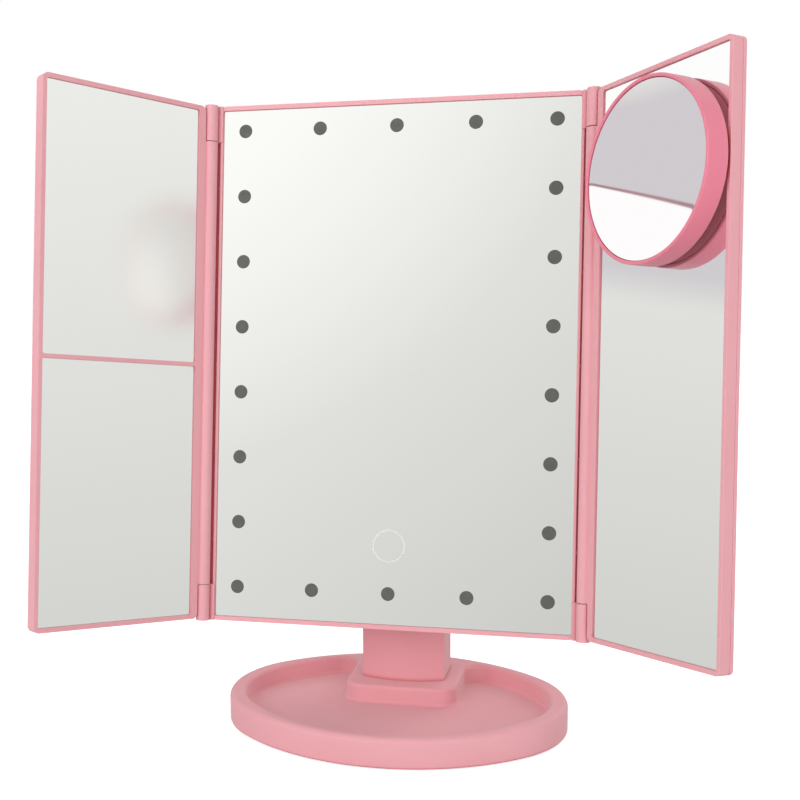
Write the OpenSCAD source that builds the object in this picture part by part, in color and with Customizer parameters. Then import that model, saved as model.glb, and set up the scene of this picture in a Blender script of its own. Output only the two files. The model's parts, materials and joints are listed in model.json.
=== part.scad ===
// Trifold vanity mirror with a ring of lights, a round spot mirror and an oval tray base.
// Millimetres, +Z up. The mirrors face -Y. The origin is the middle of the pad that the base stands on.

/* [Centre panel] */
// Width of the centre panel between the two hinge slots
panel_w = 165.2; // [150:0.2:190]
// Height of the centre panel
panel_h = 238; // [215:1:270]
// Depth of the front frame, from the bezel face to the joint with the rear housing
frame_depth = 8; // [7:0.5:12]
// Depth of the rear housing's shallow shell behind the front frame
shell_depth = 5; // [4:0.5:10]
// Thickness of the moulded walls
wall = 2; // [1.2:0.1:3]
// Width of the bezel along the sides of the centre glass
side_bezel = 1.2; // [0.8:0.1:3]
// Width of the bezel above and below each glass
end_bezel = 2; // [1:0.1:5]
// Corner radius of the panel and the wings, seen from the front
corner_r = 2.5; // [0.5:0.5:4]

/* [Mirror glass] */
// Depth of each flat glass behind its bezel
glass_recess = 1.5; // [0.5:0.1:2.5]
// Thickness of the flat mirror glass
glass_t = 2; // [1.5:0.1:3]
// Thickness of the plate that the glass is bonded to
floor_t = 1.5; // [1:0.1:2.5]
// Gap round each glass
glass_gap = 0.1; // [0.05:0.05:0.3]

/* [Lights] */
// Number of lights across the top row and the bottom row
led_cols = 5; // [3:1:6]
// Number of lights down each side
led_rows = 8; // [4:1:9]
// Diameter of each light window in the glass
window_d = 6.3; // [4:0.1:9]
// Distance of the outer lights from the sides of the panel
led_side = 11.6; // [9:0.1:16]
// Mean distance of the outer lights from the top and bottom of the panel
led_end = 13.65; // [11:0.05:20]
// Height of the middle of the light pattern above the middle of the panel
led_rise = 2.2; // [-2:0.1:3]
// Width of the light board's strips
strip_w = 11; // [8:0.5:14]
// Thickness of the circuit boards
board_t = 1.2; // [0.8:0.1:1.6]

/* [Touch switch] */
// Outer diameter of the ring printed round the touch point
ring_d = 15; // [10:0.5:20]
// Line width of the ring
ring_line = 0.7; // [0.5:0.1:2]
// Height of the touch point above the bottom of the panel
ring_up = 37.5; // [33:0.5:60]

/* [Wing hinges] */
// Distance from the side of the panel to the hinge axis
axis_out = 3.9; // [3.6:0.1:6]
// Distance of the hinge axis in front of the bezel face
axis_fwd = 2; // [1.4:0.1:4]
// Diameter of the hinge barrels
barrel_d = 6; // [4.5:0.1:6]
// Height of the fixed knuckles at the top and bottom of the panel
knuckle_h = 16.5; // [10:0.5:25]
// Gap between a knuckle and the wing's barrel
seam = 0.4; // [0.3:0.1:1]
// Diameter of the hinge pins
pin_d = 2; // [1.5:0.1:2.5]
// Radial running clearance of the pins in the barrels and of the axle in the lugs
run_gap = 0.05; // [0.02:0.01:0.1]
// Spacing of the small ribs on the side of the panel, in the hinge slot
rib_pitch = 40.5; // [20:0.5:48]

/* [Wings] */
// Gap left between the two wings' outer edges if both could lie folded in
closed_gap = 5.8; // [2:0.1:12]
// Distance of the wings' ends inside the panel's ends
wing_short = 1; // [0:0.1:4]
// Thickness of a wing
wing_t = 6.8; // [6:0.1:9]
// Thickness of a wing's back cover
back_t = 1.8; // [1.2:0.1:2.4]
// Distance of a wing's bezel face in front of its hinge axis
wing_proud = 0.7; // [0:0.1:0.9]
// Distance from the hinge axis to the inner edge of the wing's body
wing_start = 3.4; // [3.3:0.1:5]
// Distance from the hinge axis to the inner edge of the wing's glass
wing_glass_in = 6.8; // [6:0.1:9]
// Width of the bezel along the wing's outer edge
wing_bezel = 1.8; // [1:0.1:4]
// Height of the rib between the left wing's two mirrors
split_rib = 1.8; // [1.5:0.1:4]
// Height of that rib above the middle of the wing
split_z = -0.8; // [-30:0.1:30]
// Angle of the left wing, swung forward from flat
left_fold = 52; // [0:1:90]
// Angle of the right wing, swung forward from flat
right_fold = 52; // [0:1:90]

/* [Spot mirror] */
// Outer diameter of the spot mirror's casing
spot_d = 73.4; // [50:0.2:74]
// Depth of the casing
spot_depth = 9.8; // [9:0.1:14]
// Gap between the wing's glass and the casing's back
spot_gap = 2.8; // [2.5:0.1:6]
// Distance of the middle of the spot mirror inside the wing's outer edge
spot_in = 36.2; // [34:0.1:38]
// Height of the middle of the spot mirror above the middle of the wing
spot_z = 73.5; // [40:0.5:76]
// Width of the casing's rim round the glass
spot_rim_w = 1.5; // [1.5:0.1:4]
// Radius of the curve that makes the spot glass magnify
spot_curve = 250; // [200:10:900]
// Thickness of the spot glass in the middle
spot_glass_t = 1.6; // [1.2:0.1:2]
// Diameter of the suction cup
cup_d = 38; // [24:1:44]

/* [Tilt hinge] */
// Lean of the panel back from upright
tilt = 7.6; // [0:0.1:20]
// Height of the tilt axis above the table
pivot_z = 80; // [76:0.5:95]
// Distance of the tilt axis behind the middle of the base
pivot_y = 14; // [8:0.5:20]
// Distance of the tilt axis behind the bezel face
pivot_back = 32.5; // [31.5:0.1:38]
// Height of the tilt axis above the bottom of the panel, measured along the panel
pivot_up = 34; // [27:0.5:34.5]
// Diameter of the axle
axle_d = 6; // [4:0.5:8]
// Radius of the round ends of the housing's two lugs
lug_r = 12; // [10:0.5:12.5]
// Thickness of each lug
lug_t = 8; // [5:0.5:12]
// Thickness of the friction washers
washer_t = 1.3; // [0.8:0.1:2]
// Free gap between the lugs and the washers or the axle's ends
side_gap = 0.3; // [0.3:0.05:0.5]

/* [Neck] */
// Width of the neck
neck_w = 40; // [30:0.5:46]
// Depth of the neck, front to back
neck_depth = 30; // [24:0.5:32]
// Distance of the neck's front behind the middle of the base
neck_front_y = 15; // [13:0.5:18]
// Radius of the neck's bowed front face
neck_bow_r = 48; // [40:1:100]
// Corner radius of the neck
neck_corner = 4; // [3:0.5:9]
// Height above the table at which the neck starts to lean forward
neck_bend_z = 42; // [36:0.5:48]
// Radius of the neck's round head
head_r = 11; // [8:0.5:11.5]
// Step between the neck's faces and its round head
head_step = 0.8; // [0.5:0.1:2]
// Wall thickness of the neck
neck_wall = 2.6; // [2:0.1:4]
// Gap round the neck in its socket
socket_gap = 0.15; // [0.1:0.05:0.3]

/* [Base] */
// Width of the base
base_w = 159.4; // [140:0.2:180]
// Depth of the base, front to back
base_d = 118; // [114:0.5:130]
// Height of the base's rim
base_h = 14; // [12:0.5:20]
// Radius of the base's two round ends
base_end_r = 46; // [42:0.5:50]
// Width of the rim at the two ends
rim_side = 7.7; // [6:0.1:12]
// Width of the rim at the front and the back
rim_front = 4.8; // [4.4:0.1:9]
// Height of the tray's floor above the table
tray_z = 5.4; // [5:0.1:7]
// Thickness of the tray's floor
tray_floor = 1.6; // [1.2:0.1:2]
// Width of the raised block that the neck stands in
block_w = 54; // [52:0.5:62]
// Distance of the block's front behind the middle of the base
block_front_y = 6; // [2:0.5:9]
// Corner radius of the block
block_corner = 9; // [5:0.5:12]
// Radius of the hollow corners where the block meets the rim
block_fillet = 8; // [4:0.5:12]
// Thickness of the bottom cover
cover_t = 1.5; // [1:0.1:1.6]
// Thickness of the non-slip pad
pad_t = 1.2; // [0.8:0.1:2]
// Distance of the pad's edge inside the base's edge
pad_inset = 7; // [5:0.5:15]

/* [Battery box] */
// Diameter of a battery cell
cell_d = 14.2; // [13.8:0.1:14.5]
// Length of a battery cell with its nub
cell_l = 50.5; // [49:0.1:51]
// Number of cells side by side
cell_count = 4; // [2:1:4]
// Depth of the battery box behind the shell
box_depth = 18; // [17.5:0.5:22]
// Height of the middle of the battery box above the tilt axis, measured along the panel
box_up = 45; // [44:0.5:49]
// Thickness of the battery door
door_t = 1.7; // [1.4:0.1:2.4]
// Width of the ledge that the door rests on
door_ledge = 3.5; // [2.5:0.1:5]

/* [Charging and switch] */
// Distance of the charging socket and the slide button from the middle of the panel
port_out = 53; // [48:0.5:56]
// Height of the charging socket above the bottom of the panel
usb_up = 43; // [40:0.5:48]
// Height of the slide button above the bottom of the panel
switch_up = 30; // [24:0.5:33]

/* [Screws] */
// Shank diameter of the screws
screw_d = 2.4; // [2:0.1:3]
// Head diameter of the screws
screw_head_d = 5; // [4:0.1:6]
// Thickness of the screw heads
screw_head_t = 1; // [0.8:0.1:1.1]

/* [Hidden] */
$fn = 64;
eps = 0.01;
over = 1;

pink = [0.86, 0.56, 0.60];
hot_pink = [0.93, 0.50, 0.60];
silver = [0.86, 0.88, 0.88];
steel = [0.70, 0.71, 0.73];
board_green = [0.15, 0.42, 0.25];
white = [0.95, 0.95, 0.93];
rubber = [0.25, 0.24, 0.25];
copper = [0.80, 0.50, 0.30];
smoke = [0.45, 0.45, 0.43];

// Depths in the panel's own frame: y = 0 is the bezel face and +y is towards the back.
glass_y0 = glass_recess;
glass_y1 = glass_y0 + glass_t;
floor_y1 = glass_y1 + floor_t;
shell_y1 = frame_depth + shell_depth;
back_wall_y = shell_y1 - wall;
box_y1 = shell_y1 + box_depth;

glass_w = panel_w - 2 * side_bezel;
glass_h = panel_h - 2 * end_bezel;

led_pitch_x = (panel_w - 2 * led_side) / (led_cols - 1);
led_pitch_z = (panel_h - 2 * led_end) / (led_rows - 1);

// Light positions round the edge of a grid
LEDS = [for (i = [0 : led_cols - 1], j = [0 : led_rows - 1])
    if (i == 0 || i == led_cols - 1 || j == 0 || j == led_rows - 1)
        [(i - (led_cols - 1) / 2) * led_pitch_x, led_rise + (j - (led_rows - 1) / 2) * led_pitch_z]];
led_x = (led_cols - 1) / 2 * led_pitch_x;
led_z = (led_rows - 1) / 2 * led_pitch_z;
led_hole_d = window_d + 0.6;
led_chip = [3.5, 1.2, 2.8];

ring_drop = panel_h / 2 - ring_up;

axis_x = panel_w / 2 + axis_out;
barrel_r = barrel_d / 2;
knuckle_z = panel_h / 2 - knuckle_h;
barrel_z = knuckle_z - seam;
pin_in = 9;
web_y = -0.5;
slot_wall_y = barrel_r + 0.5 - axis_fwd;
slot_wall_t = 2;
slot_rib_z = 1.2;
slot_rib_y = 0.3;

wing_h = panel_h - 2 * wing_short;
wing_reach = axis_x - closed_gap / 2;
wing_y0 = -wing_proud;
wing_y1 = wing_y0 + wing_t;
wing_frame_y1 = wing_y1 - back_t;
wing_glass_y0 = wing_y0 + glass_recess;
wing_glass_y1 = wing_glass_y0 + glass_t;
wing_glass_out = wing_reach - wing_bezel;
wing_glass_z = wing_h / 2 - end_bezel;
cover_lap = 0.9;

spot_out = wing_reach - spot_in;
spot_r = spot_d / 2;
spot_bore = spot_r - spot_rim_w;
spot_sag = spot_curve - sqrt(pow(spot_curve, 2) - pow(spot_bore, 2));
spot_glass_edge = spot_sag + spot_glass_t;
spot_lip = 0.8;
spot_back_t = 2;
cup_lift = 0.15;

pivot_drop = panel_h / 2 - pivot_up;
head_half = neck_w / 2;
lug_x0 = head_half + washer_t + side_gap;
lug_x1 = lug_x0 + lug_t;
axle_r = axle_d / 2;
axle_end_t = 3;
axle_end_r = axle_r + 2.5;

neck_z0 = tray_z + 0.4;
neck_back_y = neck_front_y + neck_depth;
split_lean = atan2(neck_front_y + neck_depth / 2 - pivot_y, pivot_z);
neck_screw_x = 9;
neck_screw_z = 28;
neck_foot_y = [neck_front_y + 8, neck_back_y - 7];
boss_r = 4;
foot_boss_h = 9;

cover_z0 = pad_t;
cover_z1 = cover_z0 + cover_t;
under_z = tray_z - tray_floor;
skirt_z = 0.6;
skirt_t = 2.2;
rim_top_t = 2.2;
inner_grow = 1.4;
cover_screw_turn = 22;
cover_screw_head_d = 4;
cover_screw_out = base_end_r - skirt_t - 3.2;
cover_boss_r = 3.4;

cell_pitch = cell_d + 0.8;
bay_w = cell_count * cell_pitch + 1;
bay_h = cell_l + 4.5;
box_w = bay_w + 2 * (door_ledge + 4);
box_h = bay_h + 2 * door_ledge;
box_z = box_up - pivot_drop;
door_gap = 0.3;
door_w = bay_w + 2 * door_ledge - 2 * door_gap;
door_h = bay_h + 2 * door_ledge - 4;
contact_t = 0.5;
contact_w = 10;
CELL_X = [for (i = [0 : cell_count - 1]) (i - (cell_count - 1) / 2) * cell_pitch];
cell_y = shell_y1 + 0.4 + cell_d / 2;
cell_z0 = box_z - bay_h / 2 + contact_t;
cell_z1 = box_z + bay_h / 2 - contact_t;

screw_r = screw_d / 2;
boss_x = led_x - strip_w / 2 - 7.5;
BOSS_Z = [panel_h / 2 - 27, 15, 57 - panel_h / 2];
bracket_screw_x = lug_x0 + lug_t / 2;
bracket_screw_up = lug_r / 2;
BRACKET_SCREW_Z = [-pivot_drop - bracket_screw_up, -pivot_drop + bracket_screw_up];
bracket_screw_l = 9;

port_x = -port_out;
usb_z = usb_up - panel_h / 2;
switch_z = switch_up - panel_h / 2;
usb_size = [8, 3];
switch_travel = 3;
knob_w = 2.6;
knob_x0 = port_x - (switch_travel + knob_w) / 2;
knob_x1 = port_x + (switch_travel + knob_w) / 2;
board_back_y = floor_y1 + board_t;
control_y0 = board_back_y + 0.8;
control_y1 = control_y0 + board_t;
port_y1 = control_y0 + board_t;

// ---------- places ----------

// The panel's own frame: origin in the middle of its bezel face, leaning back about the tilt axis
module at_panel() {
    translate([0, pivot_y, pivot_z])
        rotate([-tilt, 0, 0])
            translate([0, -pivot_back, pivot_drop])
                children();
}

// A wing's own frame: origin on the hinge axis, +x towards the outer edge, +y towards the back
module at_right_wing() {
    at_panel()
        translate([axis_x, -axis_fwd, 0])
            rotate([0, 0, -right_fold])
                children();
}

module at_left_wing() {
    at_panel()
        mirror([1, 0, 0])
            translate([axis_x, -axis_fwd, 0])
                rotate([0, 0, -left_fold])
                    children();
}

// The spot mirror's own frame: origin on the wing's glass, +z out of the glass
module at_spot() {
    at_right_wing()
        translate([spot_out, wing_glass_y0, spot_z])
            rotate([90, 0, 0])
                children();
}

// ---------- shapes ----------

module round_rect(x0, x1, z0, z1, r) {
    if (r > 0) {
        translate([x0 + r, z0]) square([x1 - x0 - 2 * r, z1 - z0]);
        translate([x0, z0 + r]) square([x1 - x0, z1 - z0 - 2 * r]);
        for (x = [x0 + r, x1 - r], z = [z0 + r, z1 - r])
            translate([x, z]) circle(r);
    } else {
        translate([x0, z0]) square([x1 - x0, z1 - z0]);
    }
}

// An upright plate from depth y0 to depth y1
module slab(x0, x1, z0, z1, y0, y1, r = 0) {
    translate([0, y1, 0])
        rotate([90, 0, 0])
            linear_extrude(y1 - y0)
                round_rect(x0, x1, z0, z1, r);
}

module rod_x(r, x0, x1) {
    translate([x0, 0, 0]) rotate([0, 90, 0]) cylinder(r = r, h = x1 - x0);
}

module rod_y(r, y0, y1) {
    translate([0, y1, 0]) rotate([90, 0, 0]) cylinder(r = r, h = y1 - y0);
}

module rod_z(r, z0, z1) {
    translate([0, 0, z0]) cylinder(r = r, h = z1 - z0);
}

// A screw along +z with its head's top at z = 0 and its tip at z = length
module screw(length, head_d = screw_head_d) {
    rod_z(head_d / 2, 0, screw_head_t);
    rod_z(screw_r, screw_head_t - eps, length);
}

// An oval of four arcs: half width a, half depth b and end radius r, drawn in by inset
function oval_side_c(a, b, r) = (pow(a - r, 2) - pow(b - r, 2)) / (2 * (b - r));
function arc_points(cx, cy, r, from, to, steps) =
    [for (i = [0 : steps - 1]) let (t = from + (to - from) * i / steps) [cx + r * cos(t), cy + r * sin(t)]];

module oval(a, b, r, inset = 0) {
    end_x = a - r;
    side_c = oval_side_c(a, b, r);
    join = atan2(side_c, end_x);
    side_r = b + side_c - inset;
    polygon(concat(
        arc_points(end_x, 0, r - inset, -join, join, 28),
        arc_points(0, -side_c, side_r, join, 180 - join, 36),
        arc_points(-end_x, 0, r - inset, 180 - join, 180 + join, 28),
        arc_points(0, side_c, side_r, 180 + join, 360 - join, 36)
    ));
}

module base_oval(inset = 0) oval(base_w / 2, base_d / 2, base_end_r, inset);

tray_a = base_w / 2 - rim_side;
tray_b = base_d / 2 - rim_front;
tray_r = base_end_r - rim_side;
module tray_oval(inset = 0) oval(tray_a, tray_b, tray_r, inset);

// ---------- base ----------

tray_side_c = oval_side_c(tray_a, tray_b, tray_r);
tray_side_r = tray_b + tray_side_c;

// Plan of the raised block, with hollow corners where its sides meet the rim
module block_plan() {
    half = block_w / 2;
    fillet_y = sqrt(pow(tray_side_r - block_fillet, 2) - pow(half + block_fillet, 2)) - tray_side_c;
    out = block_fillet / (tray_side_r - block_fillet);
    touch_x = (half + block_fillet) * (1 + out);
    touch_y = fillet_y + (fillet_y + tray_side_c) * out;
    round_rect(-half, half, block_front_y, base_d / 2 + block_corner, block_corner);
    for (s = [-1, 1])
        difference() {
            translate([s > 0 ? half - over : -touch_x, fillet_y])
                square([touch_x - half + over, touch_y - fillet_y + block_fillet]);
            translate([s * (half + block_fillet), fillet_y]) circle(block_fillet);
        }
}

function cover_screw_spots() = [for (sx = [-1, 1], sy = [-1, 1])
    [sx * (base_w / 2 - base_end_r + cover_screw_out * cos(cover_screw_turn)),
     sy * cover_screw_out * sin(cover_screw_turn)]];

module base_tray() {
    color(pink)
        difference() {
            translate([0, 0, skirt_z]) linear_extrude(base_h - skirt_z) base_oval();
            translate([0, 0, tray_z])
                linear_extrude(base_h)
                    difference() {
                        tray_oval();
                        block_plan();
                    }
            // room for the cover, and the hollow under the rim
            linear_extrude(under_z) base_oval(skirt_t);
            difference() {
                linear_extrude(base_h - rim_top_t)
                    difference() {
                        base_oval(skirt_t);
                        tray_oval(-inner_grow);
                        block_plan();
                    }
                for (p = cover_screw_spots())
                    translate(p) rod_z(cover_boss_r, under_z - over, base_h);
            }
            for (p = cover_screw_spots())
                translate(p) rod_z(screw_r, 0, base_h - rim_top_t - 2);
            // socket for the neck
            translate([0, 0, neck_z0])
                linear_extrude(base_h)
                    neck_plan(-socket_gap);
            for (y = neck_foot_y)
                translate([0, y, 0]) rod_z(screw_r + 0.3, 0, base_h);
        }
}

module base_cover() {
    color(pink)
        difference() {
            translate([0, 0, cover_z0]) linear_extrude(cover_t) base_oval(skirt_t + 0.2);
            for (p = cover_screw_spots())
                translate(p) {
                    rod_z(screw_r + 0.2, 0, base_h);
                    rod_z(cover_screw_head_d / 2 + 0.2, 0, cover_z0 + screw_head_t);
                }
        }
}

module non_slip_pad() {
    color(rubber)
        linear_extrude(pad_t) base_oval(pad_inset);
}

module cover_screws() {
    color(steel)
        for (p = cover_screw_spots())
            translate([p.x, p.y, cover_z0]) screw(base_h - rim_top_t - 3 - cover_z0, cover_screw_head_d);
}

module neck_foot_screws() {
    color(steel)
        for (y = neck_foot_y)
            translate([0, y, under_z - screw_head_t]) screw(10);
}

// ---------- neck ----------

// Plan of the neck, drawn in by inset: a rounded block with a bowed front
module neck_plan(inset = 0) {
    half = head_half - inset;
    intersection() {
        round_rect(-half, half, neck_front_y + inset, neck_back_y - inset, max(neck_corner - inset, 1));
        translate([0, neck_front_y + neck_bow_r]) circle(neck_bow_r - inset, $fn = 120);
    }
}

// Where a face that starts at (y, bend) comes to the round head, just inside it; side is -1 in front and 1 behind
function head_point(y, side) =
    let (d = norm([y - pivot_y, pivot_z - neck_bend_z]),
         grip = head_r - head_step,
         lean = atan2(y - pivot_y, pivot_z - neck_bend_z) - side * asin(grip / d))
    [pivot_y + side * grip * cos(lean), pivot_z + side * grip * sin(lean)];

arm_in = 2;
arm_half = head_half - arm_in;
module neck_form() {
    y0 = neck_front_y + neck_corner;
    y1 = neck_back_y - arm_in;
    translate([0, 0, neck_z0])
        linear_extrude(neck_bend_z - neck_z0) neck_plan();
    translate([-arm_half, 0, 0])
        rotate([90, 0, 90])
            linear_extrude(2 * arm_half)
                polygon([[y0, neck_bend_z - arm_in], [y1, neck_bend_z - arm_in], [y1, neck_bend_z],
                         head_point(y1, 1), head_point(y0, -1), [y0, neck_bend_z]]);
    translate([0, pivot_y, pivot_z]) rod_x(head_r, -head_half, head_half);
}

mean_lean = atan2((neck_front_y + neck_back_y) / 2 - pivot_y, pivot_z - neck_bend_z);
module neck_hollow() {
    translate([0, 0, neck_z0 + neck_wall])
        linear_extrude(neck_bend_z - neck_z0 - 2 * neck_wall) neck_plan(neck_wall);
    thick = 2 * (head_r - neck_wall - 1);
    wide = neck_w * 0.6;
    reach = pivot_z - neck_bend_z;
    translate([0, pivot_y, pivot_z])
        rotate([mean_lean, 0, 0])
            translate([-wide / 2, -thick / 2, -reach])
                cube([wide, thick, reach - head_r - 2]);
}

neck_span = 2 * pivot_z;

// Everything in front of the neck's joint face, or behind it with back = true
module neck_side(back = false) {
    translate([0, pivot_y, pivot_z])
        rotate([split_lean, 0, 0])
            translate([-neck_span / 2, back ? 0 : -neck_span, -neck_span])
                cube([neck_span, neck_span, 2 * neck_span]);
}

// The neck with its bosses; both halves are cut from it
module neck_whole() {
    difference() {
        neck_form();
        difference() {
            neck_hollow();
            for (x = [-neck_screw_x, neck_screw_x])
                translate([x, 0, neck_screw_z]) rod_y(boss_r, 0, neck_back_y + over);
            for (y = neck_foot_y)
                translate([0, y, 0]) rod_z(boss_r, 0, neck_z0 + foot_boss_h);
        }
        translate([0, pivot_y, pivot_z]) rod_x(axle_r, -head_half - over, head_half + over);
        for (x = [-neck_screw_x, neck_screw_x])
            translate([x, 0, neck_screw_z]) {
                rod_y(screw_r, neck_front_y + 5, neck_back_y + over);
                rod_y(screw_head_d / 2 + 0.2, neck_back_y - 3, neck_back_y + over);
            }
        for (y = neck_foot_y)
            translate([0, y, 0]) rod_z(screw_r, 0, neck_z0 + foot_boss_h - 1);
    }
}

module neck_front() {
    color(pink)
        intersection() {
            neck_whole();
            neck_side();
        }
}

module neck_back() {
    color(pink)
        intersection() {
            neck_whole();
            neck_side(back = true);
        }
}

module neck_screws() {
    color(steel)
        for (x = [-neck_screw_x, neck_screw_x])
            translate([x, neck_back_y - 2, neck_screw_z])
                rotate([90, 0, 0])
                    screw(neck_depth - 8);
}

module tilt_axle() {
    color(steel)
        translate([0, pivot_y, pivot_z]) {
            rod_x(axle_r, -lug_x1 - side_gap - eps, lug_x1 + side_gap + axle_end_t);
            rod_x(axle_end_r, -lug_x1 - side_gap - axle_end_t, -lug_x1 - side_gap);
        }
}

module axle_nut() {
    color(steel)
        translate([0, pivot_y, pivot_z])
            difference() {
                translate([lug_x1 + side_gap, 0, 0])
                    rotate([0, 90, 0]) cylinder(r = axle_end_r, h = axle_end_t - 0.5, $fn = 6);
                rod_x(axle_r, lug_x1, lug_x1 + 2 * axle_end_t);
            }
}

module tilt_washers() {
    color(white)
        translate([0, pivot_y, pivot_z])
            for (s = [0, 1])
                mirror([s, 0, 0])
                    difference() {
                        rod_x(head_r - 2, head_half, head_half + washer_t);
                        rod_x(axle_r, head_half - over, head_half + washer_t + over);
                    }
}

// ---------- centre panel ----------

// The wall that closes the right hinge slot behind the wing's barrel, with the small ribs in the slot
module slot_wall() {
    x0 = panel_w / 2 - eps;
    translate([x0, slot_wall_y, -knuckle_z - eps])
        cube([axis_out - 0.4, slot_wall_t, 2 * (knuckle_z + eps)]);
    for (i = [-2 : 2])
        translate([x0, slot_rib_y, i * rib_pitch - slot_rib_z / 2])
            cube([axis_out - barrel_r - 0.4, slot_wall_y - slot_rib_y + eps, slot_rib_z]);
}

// A fixed knuckle with its web, at the panel's top right corner
module knuckle() {
    translate([axis_x, -axis_fwd, 0]) rod_z(barrel_r, knuckle_z, panel_h / 2);
    translate([panel_w / 2 - over, web_y, knuckle_z]) cube([axis_out + over, 4 + axis_fwd / 2, knuckle_h]);
}

module front_frame() {
    color(pink)
        at_panel() {
            difference() {
                union() {
                    slab(-panel_w / 2, panel_w / 2, -panel_h / 2, panel_h / 2, 0, frame_depth, corner_r);
                    for (s = [0, 1], t = [0, 1])
                        mirror([s, 0, 0]) mirror([0, 0, t]) knuckle();
                    for (s = [0, 1])
                        mirror([s, 0, 0]) slot_wall();
                }
                slab(-glass_w / 2, glass_w / 2, -glass_h / 2, glass_h / 2, -over, glass_y1, 0.8);
                slab(-panel_w / 2 + wall, panel_w / 2 - wall, -panel_h / 2 + wall, panel_h / 2 - wall,
                     floor_y1, frame_depth + over, corner_r / 2);
                for (p = LEDS)
                    translate([p.x, 0, p.y]) rod_y(led_hole_d / 2, glass_y1 - over, floor_y1 + over);
                for (s = [0, 1], t = [0, 1])
                    mirror([s, 0, 0]) mirror([0, 0, t])
                        translate([axis_x, -axis_fwd, 0])
                            rod_z(pin_d / 2, knuckle_z - over, panel_h / 2 - 3);
            }
            for (x = [-boss_x, boss_x], z = BOSS_Z)
                translate([x, 0, z])
                    difference() {
                        rod_y(3.2, floor_y1 - eps, back_wall_y);
                        rod_y(screw_r, floor_y1 + 0.5, back_wall_y + over);
                    }
        }
}

module centre_mirror() {
    color(silver)
        at_panel()
            difference() {
                slab(-glass_w / 2 + glass_gap, glass_w / 2 - glass_gap,
                     -glass_h / 2 + glass_gap, glass_h / 2 - glass_gap, glass_y0, glass_y1, 0.7);
                for (p = LEDS)
                    translate([p.x, 0, p.y]) rod_y(window_d / 2, 0, glass_y1 + over);
            }
}

// The clear spots in the silvering, one in front of each light
module light_windows() {
    color(smoke)
        at_panel()
            for (p = LEDS)
                translate([p.x, 0, p.y]) rod_y(window_d / 2 - 0.02, glass_y0 + 0.05, glass_y1);
}

module touch_ring() {
    color(white)
        at_panel()
            translate([0, 0, -ring_drop])
                difference() {
                    rod_y(ring_d / 2, glass_y0 - 0.15, glass_y0);
                    rod_y(ring_d / 2 - ring_line, glass_y0 - over, glass_y0 + over);
                }
}

// The sensing foil behind the glass, with its sprung contact
module touch_pad() {
    color(copper)
        at_panel()
            translate([0, 0, -ring_drop]) {
                rod_y(ring_d / 2 - 1, floor_y1, floor_y1 + 0.3);
                rod_y(2, floor_y1 + 0.3 - eps, control_y0);
            }
}

module light_board() {
    color(white)
        at_panel()
            difference() {
                slab(-led_x - strip_w / 2, led_x + strip_w / 2,
                     led_rise - led_z - strip_w / 2, led_rise + led_z + strip_w / 2,
                     floor_y1, board_back_y, 1);
                slab(-led_x + strip_w / 2, led_x - strip_w / 2,
                     led_rise - led_z + strip_w / 2, led_rise + led_z - strip_w / 2,
                     floor_y1 - over, board_back_y + over);
            }
}

module light_chips() {
    color([0.95, 0.90, 0.55])
        at_panel()
            for (p = LEDS)
                translate([p.x - led_chip.x / 2, floor_y1 - led_chip.y, p.y - led_chip.z / 2])
                    cube(led_chip);
}

control_w = 56;
control_z0 = led_rise - led_z + strip_w / 2 + 1.65;
control_h = 33;
// Chips on the control board: place across and up from its lower edge, then width, thickness and height
CHIPS = [[-18, 6, [8, 1.2, 8]], [4, 4, [5, 1, 4]], [14, 12, [6, 1.4, 4]]];
capacitor_r = 2.5;
capacitor_h = 1.6;
capacitor_z = 24;
module control_board() {
    color(board_green)
        at_panel()
            slab(-control_w / 2, control_w / 2, control_z0, control_z0 + control_h,
                 control_y0, control_y1, 1);
}

module board_parts() {
    color(rubber)
        at_panel()
            translate([0, control_y1, control_z0]) {
                for (c = CHIPS)
                    translate([c[0], 0, c[1]]) cube(c[2]);
                for (x = [-4, 12])
                    translate([x, 0, capacitor_z]) rod_y(capacitor_r, 0, capacitor_h);
            }
}

lead_r = 0.6;
lead_x = CELL_X[cell_count - 1];
lead_z = cell_z0 - contact_t + lead_r;
module battery_leads() {
    color([0.75, 0.15, 0.15])
        at_panel()
            for (x = [-lead_x, lead_x])
                translate([x, 0, lead_z]) rod_y(lead_r, control_y1, cell_y - contact_w / 2);
}

module port_board() {
    color(board_green)
        at_panel()
            slab(port_x - 10, port_x + 10, switch_z - 6, usb_z + 6, control_y0, port_y1, 1);
}

module charging_socket() {
    color(steel)
        at_panel()
            difference() {
                slab(port_x - usb_size.x / 2, port_x + usb_size.x / 2,
                     usb_z - usb_size.y / 2, usb_z + usb_size.y / 2, port_y1, shell_y1 - 0.4, 0.8);
                slab(port_x - usb_size.x / 2 + 0.5, port_x + usb_size.x / 2 - 0.5,
                     usb_z - usb_size.y / 2 + 0.5, usb_z + usb_size.y / 2 - 0.5,
                     port_y1 + 1, shell_y1, 0.4);
            }
}

switch_w = 9;
switch_h = 4.4;
module switch_body() {
    color(steel)
        at_panel()
            difference() {
                slab(port_x - switch_w / 2, port_x + switch_w / 2, switch_z - switch_h / 2,
                     switch_z + switch_h / 2, port_y1, back_wall_y);
                slab(knob_x0 - 0.3, knob_x1 + 0.3, switch_z - 1.3, switch_z + 1.3,
                     port_y1 + 1, back_wall_y + over);
            }
}

// The slide button, at the off end of its slot
module switch_knob() {
    color(rubber)
        at_panel()
            slab(knob_x0, knob_x0 + knob_w, switch_z - 1, switch_z + 1, port_y1 + 1.3, shell_y1 + 1.2);
}

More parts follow.
